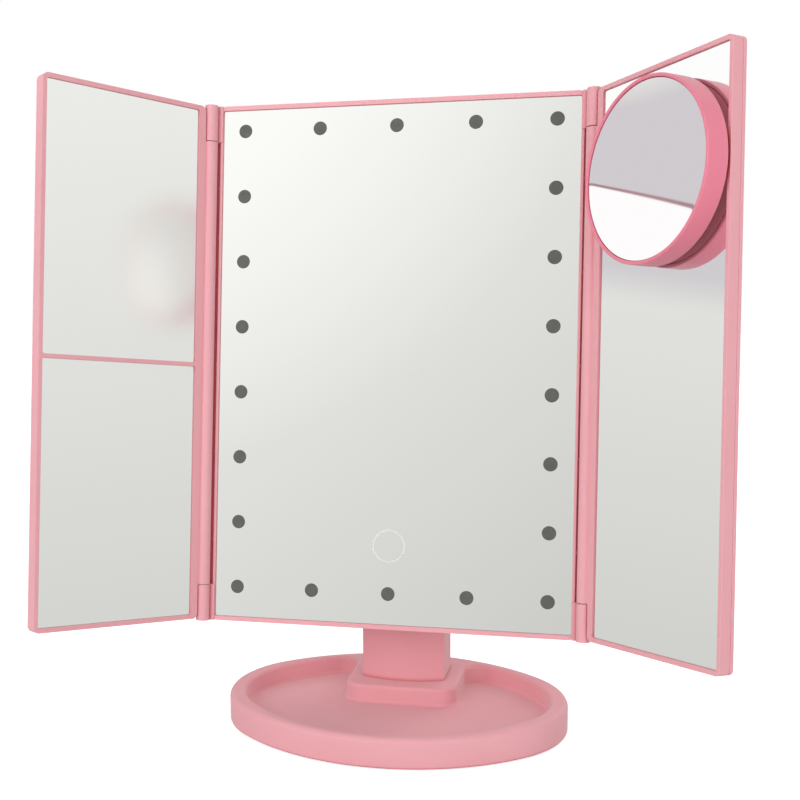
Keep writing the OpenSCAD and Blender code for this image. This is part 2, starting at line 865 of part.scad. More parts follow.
module rear_housing() {
    color(pink)
        at_panel()
            difference() {
                slab(-panel_w / 2, panel_w / 2, -panel_h / 2, panel_h / 2,
                     frame_depth, shell_y1, corner_r);
                slab(-panel_w / 2 + wall, panel_w / 2 - wall, -panel_h / 2 + wall, panel_h / 2 - wall,
                     frame_depth - over, back_wall_y, corner_r / 2);
                // holes for the leads, the screws, the socket and the slide button
                for (x = [-lead_x, lead_x])
                    translate([x, 0, lead_z]) rod_y(lead_r + 0.2, back_wall_y - over, shell_y1 + over);
                for (x = [-boss_x, boss_x], z = BOSS_Z)
                    translate([x, 0, z]) {
                        rod_y(screw_r + 0.2, back_wall_y - over, shell_y1 + over);
                        rod_y(screw_head_d / 2 + 0.2, shell_y1 - screw_head_t, shell_y1 + over);
                    }
                for (x = [-bracket_screw_x, bracket_screw_x], z = BRACKET_SCREW_Z)
                    translate([x, 0, z]) rod_y(screw_r, back_wall_y - over, shell_y1 + over);
                slab(port_x - usb_size.x / 2 - 0.2, port_x + usb_size.x / 2 + 0.2,
                     usb_z - usb_size.y / 2 - 0.2, usb_z + usb_size.y / 2 + 0.2,
                     back_wall_y - over, shell_y1 + over, 0.9);
                slab(knob_x0 - 0.5, knob_x1 + 0.5, switch_z - 1.5, switch_z + 1.5,
                     back_wall_y - over, shell_y1 + over);
            }
}

// The right one of the two lugs that carry the panel on the axle, with its foot up to the battery box
module lug() {
    difference() {
        union() {
            translate([0, pivot_back, -pivot_drop]) rod_x(lug_r, lug_x0, lug_x1);
            translate([lug_x0, shell_y1, -pivot_drop - lug_r])
                cube([lug_t, pivot_back - shell_y1, 2 * lug_r]);
            translate([lug_x0, shell_y1, -pivot_drop])
                cube([lug_t, box_depth - 4, box_z - box_h / 2 + pivot_drop]);
        }
        translate([0, pivot_back, -pivot_drop]) rod_x(axle_r + run_gap, lug_x0 - over, lug_x1 + over);
        for (z = BRACKET_SCREW_Z)
            translate([bracket_screw_x, 0, z]) rod_y(screw_r, shell_y1 - over, shell_y1 + bracket_screw_l);
    }
}

module tilt_bracket() {
    color(pink)
        at_panel()
            for (s = [0, 1])
                mirror([s, 0, 0]) lug();
}

// Driven from inside the housing before the front frame goes on
module bracket_screws() {
    color(steel)
        at_panel()
            for (x = [-bracket_screw_x, bracket_screw_x], z = BRACKET_SCREW_Z)
                translate([x, back_wall_y - screw_head_t, z])
                    rotate([-90, 0, 0])
                        screw(screw_head_t + wall + bracket_screw_l - 1);
}

module battery_box() {
    color(pink)
        at_panel()
            difference() {
                slab(-box_w / 2, box_w / 2, box_z - box_h / 2, box_z + box_h / 2, shell_y1, box_y1, 3);
                slab(-bay_w / 2, bay_w / 2, box_z - bay_h / 2, box_z + bay_h / 2,
                     shell_y1 - over, box_y1 + over);
                // seat of the door
                slab(-door_w / 2 - door_gap, door_w / 2 + door_gap,
                     box_z - door_h / 2 - door_gap, box_z + door_h / 2 + door_gap,
                     box_y1 - door_t - door_gap, box_y1 + over, 1);
            }
}

module housing_screws() {
    color(steel)
        at_panel()
            for (x = [-boss_x, boss_x], z = BOSS_Z)
                translate([x, shell_y1, z]) rotate([90, 0, 0]) screw(shell_y1 - floor_y1 - 1);
}

// Each cell's nub meets a flat contact and its other end meets a spring; neighbours point opposite ways
module battery_cells() {
    color([0.35, 0.45, 0.60])
        at_panel()
            for (i = [0 : cell_count - 1])
                translate([CELL_X[i], cell_y, box_z])
                    mirror([0, 0, i % 2])
                        translate([0, 0, cell_z1 - box_z]) {
                            rod_z(cell_d / 2, -cell_l, -1);
                            rod_z(2.75, -1 - eps, 0);
                        }
}

module battery_contacts() {
    color(steel)
        at_panel()
            for (i = [0 : cell_count - 1])
                translate([CELL_X[i], cell_y, box_z])
                    mirror([0, 0, i % 2]) {
                        for (z = [cell_z1 - box_z, cell_z0 - box_z - contact_t])
                            translate([-contact_w / 2, -contact_w / 2, z])
                                cube([contact_w, contact_w, contact_t]);
                        translate([0, 0, cell_z0 - box_z - eps])
                            cylinder(r1 = 4, r2 = 2.6, h = cell_z1 - cell_z0 - cell_l + eps);
                    }
}

module battery_door() {
    color(pink)
        at_panel()
            difference() {
                slab(-door_w / 2, door_w / 2, box_z - door_h / 2, box_z + door_h / 2,
                     box_y1 - door_t, box_y1, 1);
                // finger notch
                translate([0, box_y1 + 1.2, box_z + door_h / 2 - 8]) rod_x(2, -9, 9);
            }
}

module hinge_pins() {
    at_panel()
        for (t = [0, 1])
            mirror([0, 0, t])
                translate([axis_x, -axis_fwd, 0])
                    rod_z(pin_d / 2, barrel_z - pin_in + 0.5, panel_h / 2 - 3);
}

module right_hinge_pins() {
    color(steel) hinge_pins();
}

module left_hinge_pins() {
    color(steel) mirror([1, 0, 0]) hinge_pins();
}

// ---------- wings ----------

// A wing's front frame with its long barrel; panes lists the lowest and highest edge of each glass
module wing_frame(panes) {
    difference() {
        union() {
            slab(wing_start, wing_reach, -wing_h / 2, wing_h / 2, wing_y0, wing_frame_y1, corner_r);
            rod_z(barrel_r, -barrel_z, barrel_z);
            translate([0, wing_y0, -barrel_z])
                cube([wing_start + corner_r, barrel_r + wing_proud - 0.5, 2 * barrel_z]);
        }
        for (p = panes)
            slab(wing_glass_in, wing_glass_out, p[0], p[1], wing_y0 - over, wing_glass_y1, 0.8);
        for (t = [0, 1])
            mirror([0, 0, t])
                rod_z(pin_d / 2 + run_gap, barrel_z - pin_in, barrel_z + over);
        slab(wing_start + 1.5, wing_reach - 1.5, -wing_h / 2 + 1.5, wing_h / 2 - 1.5,
             wing_frame_y1 - cover_lap, wing_frame_y1 + over, 1);
    }
}

// The back cover, with a step that fits inside the frame
module wing_back() {
    slab(wing_start, wing_reach, -wing_h / 2, wing_h / 2, wing_frame_y1, wing_y1, corner_r);
    slab(wing_start + 1.6, wing_reach - 1.6, -wing_h / 2 + 1.6, wing_h / 2 - 1.6,
         wing_frame_y1 - cover_lap + 0.1, wing_frame_y1 + eps, 1);
}

module wing_glass(pane) {
    slab(wing_glass_in + glass_gap, wing_glass_out - glass_gap, pane[0] + glass_gap, pane[1] - glass_gap,
         wing_glass_y0, wing_glass_y1, 0.7);
}

WHOLE_PANE = [-wing_glass_z, wing_glass_z];
UPPER_PANE = [split_z + split_rib / 2, wing_glass_z];
LOWER_PANE = [-wing_glass_z, split_z - split_rib / 2];

module left_wing_frame() {
    color(pink) at_left_wing() wing_frame([UPPER_PANE, LOWER_PANE]);
}

module left_wing_back() {
    color(pink) at_left_wing() wing_back();
}

module left_upper_mirror() {
    color(silver) at_left_wing() wing_glass(UPPER_PANE);
}

module left_lower_mirror() {
    color(silver) at_left_wing() wing_glass(LOWER_PANE);
}

module right_wing_frame() {
    color(pink) at_right_wing() wing_frame([WHOLE_PANE]);
}

module right_wing_back() {
    color(pink) at_right_wing() wing_back();
}

module right_wing_mirror() {
    color(silver) at_right_wing() wing_glass(WHOLE_PANE);
}

// ---------- spot mirror ----------

module spot_casing() {
    color(hot_pink)
        at_spot()
            difference() {
                rod_z(spot_r, spot_gap, spot_gap + spot_depth);
                rod_z(spot_bore, spot_gap - over, spot_gap + spot_depth + over);
            }
}

// Flat behind and hollowed in front
module spot_mirror() {
    front = spot_gap + spot_depth - spot_lip;
    color(silver)
        at_spot()
            difference() {
                rod_z(spot_bore - glass_gap, front - spot_glass_edge, front);
                translate([0, 0, front - spot_sag + spot_curve]) sphere(spot_curve, $fn = 200);
            }
}

module spot_back() {
    glass_back = spot_gap + spot_depth - spot_lip - spot_glass_edge;
    color(hot_pink)
        at_spot() {
            rod_z(spot_bore - 0.05, spot_gap, spot_gap + spot_back_t);
            difference() {
                rod_z(spot_bore - 0.05, spot_gap + spot_back_t - eps, glass_back);
                rod_z(spot_bore - 2, spot_gap + spot_back_t - over, glass_back + over);
            }
        }
}

module suction_cup() {
    color(smoke)
        at_spot()
            rotate_extrude()
                polygon([[0, cup_lift + 0.8], [cup_d / 2 - 3, cup_lift], [cup_d / 2, cup_lift],
                         [cup_d / 2 - 0.4, cup_lift + 0.5], [cup_d / 4, cup_lift + 2],
                         [cup_d / 6, spot_gap], [0, spot_gap]]);
}

// ---------- what is drawn ----------

non_slip_pad();
base_cover();
base_tray();
cover_screws();
neck_foot_screws();
neck_front();
neck_back();
neck_screws();
tilt_axle();
tilt_washers();
axle_nut();
front_frame();
centre_mirror();
light_windows();
touch_ring();
touch_pad();
light_board();
light_chips();
control_board();
board_parts();
battery_leads();
port_board();
charging_socket();
switch_body();
switch_knob();
rear_housing();
housing_screws();
tilt_bracket();
bracket_screws();
battery_box();
battery_cells();
battery_contacts();
battery_door();
left_hinge_pins();
right_hinge_pins();
left_wing_frame();
left_wing_back();
left_upper_mirror();
left_lower_mirror();
right_wing_frame();
right_wing_back();
right_wing_mirror();
spot_casing();
spot_mirror();
spot_back();
suction_cup();
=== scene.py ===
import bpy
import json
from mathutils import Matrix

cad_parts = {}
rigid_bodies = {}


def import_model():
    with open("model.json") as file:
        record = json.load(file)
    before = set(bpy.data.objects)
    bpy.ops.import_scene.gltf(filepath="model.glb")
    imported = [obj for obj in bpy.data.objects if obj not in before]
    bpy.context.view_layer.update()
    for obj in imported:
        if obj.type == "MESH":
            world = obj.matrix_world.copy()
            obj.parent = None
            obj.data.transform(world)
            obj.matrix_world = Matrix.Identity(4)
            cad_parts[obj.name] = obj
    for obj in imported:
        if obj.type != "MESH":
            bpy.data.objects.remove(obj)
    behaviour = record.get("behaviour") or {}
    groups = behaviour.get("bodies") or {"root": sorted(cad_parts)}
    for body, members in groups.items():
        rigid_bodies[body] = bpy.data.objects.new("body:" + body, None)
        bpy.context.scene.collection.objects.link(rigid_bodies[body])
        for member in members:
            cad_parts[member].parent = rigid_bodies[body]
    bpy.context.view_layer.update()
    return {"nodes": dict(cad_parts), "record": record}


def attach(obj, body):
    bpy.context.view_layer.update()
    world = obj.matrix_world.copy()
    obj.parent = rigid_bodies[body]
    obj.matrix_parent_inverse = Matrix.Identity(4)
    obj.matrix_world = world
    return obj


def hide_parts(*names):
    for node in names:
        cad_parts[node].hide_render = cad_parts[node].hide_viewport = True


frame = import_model()

import json
import math

import bmesh
import bpy
from mathutils import Matrix, Vector

MM = 0.001


# ---------- colour and node helpers ----------

# Random patterns stay between these two values nearly everywhere
PATTERN_LOW, PATTERN_HIGH = 0.3, 0.7


def linear(hex_colour):
    """An sRGB hex colour as linear RGBA."""
    parts = [int(hex_colour[i:i + 2], 16) / 255 for i in (0, 2, 4)]
    return tuple(c / 12.92 if c <= 0.04045 else ((c + 0.055) / 1.055) ** 2.4 for c in parts) + (1.0,)


def add(tree, kind, *in_order, **named):
    """A node of that kind. Values given in order go to its inputs in order. A named value goes to the
    input of that name or, with a leading underscore, to a property, and properties are set first."""
    made = tree.nodes.new(kind)
    for name in [name for name in named if name.startswith("_")]:
        setattr(made, name[1:], named.pop(name))
    sockets = list(zip(made.inputs, in_order))
    sockets += [(made.inputs[name.replace("_", " ")], value) for name, value in named.items()]
    for socket, value in sockets:
        if isinstance(value, bpy.types.NodeSocket):
            tree.links.new(value, socket)
        else:
            socket.default_value = value
    return made


def new_material(name):
    """An empty node material, with its tree and its surface socket."""
    material = bpy.data.materials.new(name)
    material.use_nodes = True
    tree = material.node_tree
    tree.nodes.clear()
    output = add(tree, "ShaderNodeOutputMaterial")
    return material, tree, output.inputs["Surface"]


def patches(tree, size_mm, detail=3.0):
    """Soft random patches about size_mm across, in the object's own coordinates."""
    where = add(tree, "ShaderNodeTexCoord").outputs["Object"]
    return add(tree, "ShaderNodeTexNoise", Vector=where, Scale=1 / (size_mm * MM),
               Detail=detail).outputs["Fac"]


def drifting_colour(tree, size_mm, one, other):
    """A colour that drifts between two hex colours over patches about size_mm across."""
    ramp = add(tree, "ShaderNodeValToRGB", Fac=patches(tree, size_mm))
    for element, position, colour in zip(ramp.color_ramp.elements, (PATTERN_LOW, PATTERN_HIGH), (one, other)):
        element.position = position
        element.color = linear(colour)
    return ramp.outputs["Color"]


def grained_normal(tree, grain_mm, depth_mm, edge_mm=0.0):
    """Normals of a finely grained skin, over edges rounded by edge_mm where a piece is too small to bevel."""
    skin = add(tree, "ShaderNodeBump", Height=patches(tree, grain_mm, detail=2.0), Distance=depth_mm * MM,
               Strength=1.0)
    if edge_mm:
        edge = add(tree, "ShaderNodeBevel", _samples=4, Radius=edge_mm * MM)
        tree.links.new(edge.outputs["Normal"], skin.inputs["Normal"])
    return skin.outputs["Normal"]


# ---------- materials ----------

# Moulded ABS, in mm: how far its colour and its sheen drift, the grain of its skin with that grain's
# depth, and how near two faces have to be for painted shade to darken them
FLOW, SHEEN, GRAIN, GRAIN_DEPTH, CREASE = 45, 9, 0.35, 0.012, 3.0
# The share of open sky at which the painted shade in seams is at its deepest, and the share that leaves none
# of it
PAINTED_SHADE_FULL_AT, PAINTED_SHADE_NONE_AT = 0.25, 0.8
# How far down and up the roughness of moulded ABS and of small parts drifts
ABS_SMOOTHER, ABS_ROUGHER = -0.04, 0.05
PART_SMOOTHER, PART_ROUGHER = -0.05, 0.06
# Smears left by wiping a mirror: width in mm, and their stretch up and down
SMEAR, SMEAR_STRETCH = 60, 0.3


def moulded_abs(name, one, other, painted_shade, rough):
    """Injection-moulded ABS. The tool's spark-eroded face gives it an even satin skin, whose grain is drawn
    at 0.35 mm, coarser than the real one, so that it shows. Its sheen and colour drift a little with the
    flow of the melt. Seams and slots get painted shade: where faces are near each other, ambient
    occlusion mixes the colour towards a deep one, as if light reached them only off the plastic itself."""
    material, tree, surface = new_material(name)
    # Painted shade: ambient occlusion darkens the colour towards the deep colour in seams, slots and creases
    open_sky = add(tree, "ShaderNodeAmbientOcclusion", _samples=6, Distance=CREASE * MM).outputs["AO"]
    clear = add(tree, "ShaderNodeMapRange", Value=open_sky, From_Min=PAINTED_SHADE_FULL_AT,
                From_Max=PAINTED_SHADE_NONE_AT).outputs["Result"]
    colour = add(tree, "ShaderNodeMix", _data_type="RGBA", _blend_type="MIX", Factor=clear,
                 A=linear(painted_shade), B=drifting_colour(tree, FLOW, one, other)).outputs["Result"]
    sheen = add(tree, "ShaderNodeMapRange", Value=patches(tree, SHEEN),
                From_Min=PATTERN_LOW, From_Max=PATTERN_HIGH,
                To_Min=rough + ABS_SMOOTHER, To_Max=rough + ABS_ROUGHER).outputs["Result"]
    shader = add(tree, "ShaderNodeBsdfPrincipled", Base_Color=colour, Roughness=sheen, IOR=1.53,
                 Normal=grained_normal(tree, GRAIN, GRAIN_DEPTH))
    tree.links.new(shader.outputs["BSDF"], surface)
    return material


def silvered(name, tint, haze, smear):
    """A clear sheet silvered behind: as bright as the metal on its back, with long faint smears from
    wiping that run up and down."""
    material, tree, surface = new_material(name)
    where = add(tree, "ShaderNodeTexCoord").outputs["Object"]
    stretched = add(tree, "ShaderNodeMapping", Vector=where, Scale=(1.0, 1.0, SMEAR_STRETCH))
    wiped = add(tree, "ShaderNodeTexNoise", Vector=stretched.outputs["Vector"], Scale=1 / (SMEAR * MM),
                Detail=4.0, Roughness=0.6).outputs["Fac"]
    sheen = add(tree, "ShaderNodeMapRange", Value=wiped, From_Min=PATTERN_LOW, From_Max=PATTERN_HIGH,
                To_Min=haze, To_Max=haze + smear).outputs["Result"]
    shader = add(tree, "ShaderNodeBsdfPrincipled", Base_Color=linear(tint), Metallic=1.0, Roughness=sheen)
    tree.links.new(shader.outputs["BSDF"], surface)
    return material


def small_part(name, one, other, patch_mm, rough, grain_mm=0.5, depth_mm=0.01, edge_mm=0.12, metallic=0.0,
               ior=1.5):
    """The finish of a small part: two close colours in patches, a grained skin and softened edges. Where no
    grain is given it is drawn at 0.5 mm, since the real one is too fine to show. Metals keep the default
    IOR."""
    material, tree, surface = new_material(name)
    sheen = add(tree, "ShaderNodeMapRange", Value=patches(tree, patch_mm / 2),
                From_Min=PATTERN_LOW, From_Max=PATTERN_HIGH,
                To_Min=rough + PART_SMOOTHER, To_Max=rough + PART_ROUGHER).outputs["Result"]
    shader = add(tree, "ShaderNodeBsdfPrincipled", Base_Color=drifting_colour(tree, patch_mm, one, other),
                 Metallic=metallic, Roughness=sheen, IOR=ior,
                 Normal=grained_normal(tree, grain_mm, depth_mm, edge_mm))
    tree.links.new(shader.outputs["BSDF"], surface)
    return material


FINISH = {
    # ABS, moulded against a spark-eroded tool: an even satin pink, with painted shade of deep red in its
    # seams and slots
    "pink_plastic": moulded_abs("satin_moulded_abs", "E7A3AB", "EAA9B0", painted_shade="C01C32", rough=0.42),
    # ABS from a smoother tool: a stronger pink whose highlights are tighter, with painted shade of deep rose
    # in its seams and slots
    "hot_pink_plastic": moulded_abs("glossy_moulded_abs", "E97F95", "ED869C", painted_shade="C0184A", rough=0.32),
    # float glass, silvered: shows the room plainly
    "mirror_glass": silvered("silvered_float_glass", "FDFDFC", haze=0.03, smear=0.02),
    # acrylic sheet, silvered, for the two magnifying panes: a little hazier than glass
    "magnifier": silvered("silvered_acrylic", "FDFDFC", haze=0.14, smear=0.03),
    # glass ground hollow and silvered: the sharpest of the mirrors
    "spot_glass": silvered("silvered_hollow_glass", "FEFCFC", haze=0.015, smear=0.01),
    # clear spot left in the silvering, over an unlit chip: a dull grey dot
    "light_window": small_part("clear_spot", "575955", "5F615C", 2.5, 0.45, edge_mm=0.02, ior=1.4),
    # one thin pass of screen-printed white ink: matt, with the glass still showing a little
    "white_print": small_part("white_ink", "DADAD8", "E2E2E0", 3, 0.5, edge_mm=0.02),
    # foamed rubber sheet: cells of about 0.6 mm, so a dull open skin
    "pad_rubber": small_part("foam_rubber", "C98A90", "D0949A", 3, 0.8, grain_mm=0.6, depth_mm=0.05),
    # soft PVC from a polished tool: milky and slick
    "cup_rubber": small_part("soft_vinyl", "C4C5C2", "D2D3D0", 12, 0.25, ior=1.53),
    # nylon washer, punched from sheet: milky white
    "white_plastic": small_part("punched_nylon", "E6E6E0", "F0F0EB", 8, 0.45, ior=1.53),
    # black ABS from a spark-eroded tool: matt, and never quite black
    "black_plastic": small_part("black_moulded_abs", "141414", "1D1D1D", 6, 0.5, GRAIN, GRAIN_DEPTH,
                                ior=1.53),
    # glass-fibre board under solder resist: the 0.5 mm weave shows through the lacquer
    "green_board": small_part("green_lacquered_board", "1C5A30", "256B3B", 6, 0.35, ior=1.55),
    # the same board under white solder resist: a little more matt
    "white_board": small_part("white_lacquered_board", "E4E4DE", "EEEEE9", 6, 0.4, ior=1.55),
    # phosphor in clear silicone: a smooth yellow face
    "light_chip": small_part("phosphor_silicone", "E8D27C", "F1DE93", 1, 0.3, ior=1.41),
    # extruded PVC sleeve: an even red, slightly waxy
    "lead_cover": small_part("extruded_vinyl", "A01A1A", "B32222", 2, 0.45, ior=1.53),
    # rolled copper foil: bright, with rolling marks about 0.5 mm apart
    "copper_foil": small_part("rolled_copper", "B87348", "C98458", 4, 0.3, metallic=1.0),
    # heat-shrunk PVC film: smooth and a little uneven where it shrank
    "cell_wrap": small_part("shrink_film", "4A5E7C", "55698A", 10, 0.3, ior=1.53),
    # steel, zinc-plated in a barrel: bright, with faint crystals of 0.3 mm
    "steel": small_part("zinc_plated_steel", "A9ABAE", "B9BBBE", 4, 0.32, grain_mm=0.3, metallic=1.0),
}

SLOT_OF = {part["node"]: part["material_slot"] for part in frame["record"]["subparts"]}
BODY_OF = {node: body for body, nodes in frame["record"]["behaviour"]["bodies"].items() for node in nodes}
MAGNIFIERS = ("left_upper_mirror", "left_lower_mirror")
for node, slot in SLOT_OF.items():
    mesh = frame["nodes"][node].data
    mesh.materials.clear()
    mesh.materials.append(FINISH["magnifier" if node in MAGNIFIERS else slot])


# ---------- places, in the sizes of the part's source (mm and degrees) ----------

# The tilt axle, where the panel's own origin lies from it, and the panel's lean
PIVOT_Y, PIVOT_Z, PIVOT_BACK, PIVOT_DROP, TILT = 14.0, 80.0, 32.5, 85.0, 7.6
# The wings' hinge axes, and how far the wings are swung forward
AXIS_X, AXIS_FWD, FOLD = 86.5, 2.0, 52.0
# The middle of the spot mirror on the right wing, and the face of the wing's glass
SPOT_OUT, SPOT_Z, WING_GLASS_Y = 47.4, 73.5, 0.8
# The backs of the rear housing and of the battery box
SHELL_Y, BOX_Y = 13.0, 31.0


def moved(x, y, z):
    return Matrix.Translation(Vector((x, y, z)) * MM)


def turned(degrees, axis):
    return Matrix.Rotation(math.radians(degrees), 4, axis)


PANEL = moved(0, PIVOT_Y, PIVOT_Z) @ turned(-TILT, "X") @ moved(0, -PIVOT_BACK, PIVOT_DROP)
RIGHT_WING = PANEL @ moved(AXIS_X, -AXIS_FWD, 0) @ turned(-FOLD, "Z")
SPOT = RIGHT_WING @ moved(SPOT_OUT, WING_GLASS_Y, SPOT_Z) @ turned(90, "X")


# ---------- shape helpers ----------

def arc(cx, cy, r, start, stop, steps):
    """Points on an arc from start to stop, in degrees, without its last point."""
    turns = [math.radians(start + (stop - start) * i / steps) for i in range(steps)]
    return [(cx + r * math.cos(t), cy + r * math.sin(t)) for t in turns]


def quarter(steps):
    """(sine, 1 - cosine) up a quarter circle."""
    return [(math.sin(a), 1 - math.cos(a)) for a in (math.pi / 2 * i / steps for i in range(steps + 1))]


def ring(bm, points, z, place=Matrix.Identity(4)):
    """A closed ring of vertices through flat points in mm, at height z of a place."""
    return [bm.verts.new(place @ Vector((x * MM, y * MM, z * MM))) for x, y in points]


def round_pairs(verts):
    """Each vertex of a ring with the next one."""
    return zip(verts, verts[1:] + verts[:1])


def loft(bm, rings, smooth=True):
    """Quads between rings that have the same number of points."""
    for low, high in zip(rings, rings[1:]):
        for (a, b), (c, d) in zip(round_pairs(low), round_pairs(high)):
            bm.faces.new((a, b, d, c)).smooth = smooth


def flat_fill(bm, *rings):
    """A flat face inside one ring, or between two."""
    edges = [bm.edges.get(pair) or bm.edges.new(pair) for verts in rings for pair in round_pairs(verts)]
    for face in bmesh.ops.triangle_fill(bm, edges=edges, use_beauty=True)["geom"]:
        if isinstance(face, bmesh.types.BMFace):
            face.smooth = False


def finish_mesh(bm, name, body, slot, nodes=()):
    """The piece as an object that rides on a body and may stand for CAD nodes."""
    bmesh.ops.recalc_face_normals(bm, faces=bm.faces)
    mesh = bpy.data.meshes.new(name)
    bm.to_mesh(mesh)
    bm.free()
    mesh.materials.append(FINISH[slot])
    piece = bpy.data.objects.new(name, mesh)
    bpy.context.scene.collection.objects.link(piece)
    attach(piece, body)
    if nodes:
        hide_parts(*nodes)
    return piece


# ---------- mouldings with rounded edges ----------

# How far each moulding's edges are rounded, in mm
EDGE_OF = {
    "front_frame": 0.5, "left_wing_frame": 0.7, "right_wing_frame": 0.7,
    "rear_housing": 0.9, "left_wing_back": 1.0, "right_wing_back": 1.0,
    "battery_box": 0.8, "battery_door": 0.35, "tilt_bracket": 0.7,
    "neck_front": 0.35, "neck_back": 0.35, "base_cover": 0.3,
    "spot_casing": 0.6, "spot_back": 0.3, "switch_knob": 0.2,
}

# The front frame's edges beside the hinge slots are rounded more. In mm: half width of the frame, half
# height of the slots, that rounding, and how near an edge has to be to count as one of these
FRAME_HALF_W, SLOT_HALF_H, SLOT_EDGE, NEAR = 82.5, 103.0, 1.5, 0.1
# Faces that meet at less than FLAT are one face, and those that meet at more than SHARP have an edge
# between them to round. Vertices closer than WELD, in mm, are one.
FLAT, SHARP, WELD = math.radians(1), math.radians(35), 0.001
ROUNDING_STEPS, FLAT_FACE_WEIGHT = 3, 100


def beside_slot(edge):
    """Whether an edge is one of the front frame's two long front edges beside the hinge slots."""
    ends = [PANEL.inverted() @ vert.co / MM for vert in edge.verts]
    return all(abs(abs(end.x) - FRAME_HALF_W) < NEAR and abs(end.y) < NEAR and abs(end.z) < SLOT_HALF_H
               for end in ends)


def round_edges(node, width):
    """The node's own shape with every sharp edge rounded, as a mould leaves it."""
    bm = bmesh.new()
    bm.from_mesh(frame["nodes"][node].data)
    bmesh.ops.remove_doubles(bm, verts=bm.verts, dist=WELD * MM)
    bmesh.ops.dissolve_limit(bm, angle_limit=FLAT, verts=bm.verts, edges=bm.edges)
    weight = bm.edges.layers.float.new("bevel_weight_edge")
    has_slots = node == "front_frame"
    widest = SLOT_EDGE if has_slots else width
    for edge in bm.edges:
        if edge.is_manifold and edge.calc_face_angle() > SHARP:
            edge[weight] = 1.0 if has_slots and beside_slot(edge) else width / widest
    piece = finish_mesh(bm, node + "_rounded", BODY_OF[node], SLOT_OF[node], [node])
    bevel = piece.modifiers.new("rounding", "BEVEL")
    bevel.width = widest * MM
    bevel.segments = ROUNDING_STEPS
    bevel.limit_method = "WEIGHT"
    bevel.harden_normals = True
    piece.data.shade_smooth()
    # Flat faces keep their own normals right up to the rounding.
    piece.modifiers.new("flat_faces", "WEIGHTED_NORMAL").weight = FLAT_FACE_WEIGHT


for node, width in EDGE_OF.items():
    round_edges(node, width)


# ---------- tray base, in the sizes of the part's source (mm) ----------

# Outline: width, depth, height and the radius of its ends
BASE_W, BASE_D, BASE_H, END_R = 159.4, 118.0, 14.0, 46.0
# Rim width at the sides and in front, height of the tray's floor, and where the moulding starts
RIM_SIDE, RIM_FRONT, TRAY_Z, SKIRT_Z = 7.7, 4.8, 5.4, 0.6
# The neck's block: half width, front face, corner radius, and the fillet where it meets the rim
BLOCK_HALF, BLOCK_FRONT, BLOCK_CORNER, BLOCK_FILLET = 27.0, 6.0, 9.0, 8.0
# Roundings: the rim's outside and inside, the foot of the tray's wall, and the moulding's lower edge
RIM_OUT_R, RIM_IN_R, COVE_R, FOOT_R = 2.6, 1.8, 1.6, 0.8
RIM_OUT_STEPS, RIM_IN_STEPS, COVE_STEPS, FOOT_STEPS = 8, 7, 6, 4
# The hollow underneath that takes the cover: how far in it starts, and its height
UNDER_IN, UNDER_Z = 2.4, 2.8
# Points along each end, long side, short length of side, fillet and corner
END_POINTS, SIDE_POINTS, SHORT_POINTS, FILLET_POINTS, CORNER_POINTS = 48, 60, 8, 14, 12


def side_centre(a, b, r):
    """How far beyond the middle the long sides' arcs are centred, for an oval of half sizes a and b."""
    return ((a - r) ** 2 - (b - r) ** 2) / (2 * (b - r))


def oval(inset):
    """The base's outline, drawn in by inset."""
    a, b, r = BASE_W / 2, BASE_D / 2, END_R
    c = side_centre(a, b, r)
    join = math.degrees(math.atan2(c, a - r))
    side_r = b + c - inset
    return (arc(a - r, 0, r - inset, -join, join, END_POINTS)
            + arc(0, -c, side_r, join, 180 - join, SIDE_POINTS)
            + arc(r - a, 0, r - inset, 180 - join, 180 + join, END_POINTS)
            + arc(0, c, side_r, 180 + join, 360 - join, SIDE_POINTS))


def recess(grow):
    """The tray's outline round the front of the neck's block, grown outwards by grow."""
    a, b, r = BASE_W / 2 - RIM_SIDE, BASE_D / 2 - RIM_FRONT, END_R - RIM_SIDE
    c = side_centre(a, b, r)
    join = math.degrees(math.atan2(c, a - r))
    side_r = b + c
    fx = BLOCK_HALF + BLOCK_FILLET
    fy = math.sqrt((side_r - BLOCK_FILLET) ** 2 - fx ** 2) - c
    touch = math.degrees(math.atan2(fy + c, fx))
    cx, cy = BLOCK_HALF - BLOCK_CORNER, BLOCK_FRONT + BLOCK_CORNER
    side_r += grow
    return (arc(0, -c, side_r, touch, join, SHORT_POINTS)
            + arc(a - r, 0, r + grow, join, -join, END_POINTS)
            + arc(0, c, side_r, 360 - join, 180 + join, SIDE_POINTS)
            + arc(r - a, 0, r + grow, 180 + join, 180 - join, END_POINTS)
            + arc(0, -c, side_r, 180 - join, 180 - touch, SHORT_POINTS)
            + arc(-fx, fy, BLOCK_FILLET + grow, 180 - touch, 0, FILLET_POINTS)
            + arc(-cx, cy, BLOCK_CORNER - grow, 180, 270, CORNER_POINTS)
            + arc(cx, cy, BLOCK_CORNER - grow, 270, 360, CORNER_POINTS)
            + arc(fx, fy, BLOCK_FILLET + grow, 180, touch, FILLET_POINTS))


